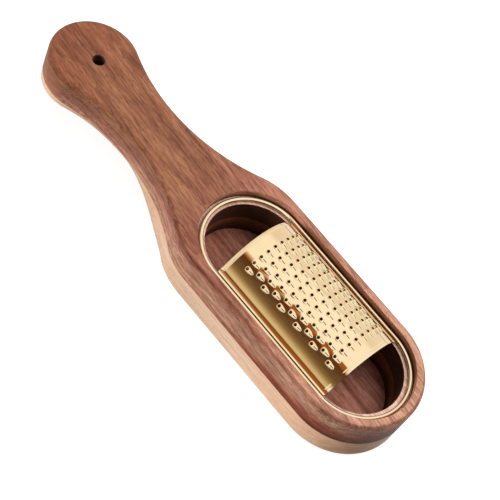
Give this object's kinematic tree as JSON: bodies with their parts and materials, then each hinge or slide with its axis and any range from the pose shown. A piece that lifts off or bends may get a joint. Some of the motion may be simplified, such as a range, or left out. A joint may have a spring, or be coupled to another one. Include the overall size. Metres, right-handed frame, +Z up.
{
  "type": "hand grater",
  "caption": "Paddle-shaped wooden hand grater: two-tone body with a round-ended well, and an arched toothed brass plate on a wire frame that lifts out of a rebate.",
  "frame": {"origin": "middle of the footprint, on the flat underside that lies on the table", "axes": "+X along the length towards the round nose, -X towards the handle, +Z up, +Y across"},
  "size_m": [0.3024, 0.08, 0.0513],
  "materials": {
    "walnut_body": "oiled walnut, satin",
    "maple_base": "oiled maple, satin",
    "walnut_floor": "oiled walnut, satin",
    "wire_ring": "polished",
    "grater_plate": "polished sheet"
  },
  "bodies": {
    "wooden_body": {"walnut_body": "walnut_body", "maple_base": "maple_base", "walnut_floor": "walnut_floor"},
    "grating_insert": {"wire_ring": "wire_ring", "grater_plate": "grater_plate"}
  },
  "joints": [
    {"name": "insert_lift", "type": "slide", "parent": "wooden_body", "child": "grating_insert", "axis": [0, 0, 1], "range_m": [0, 0.04]}
  ]
}
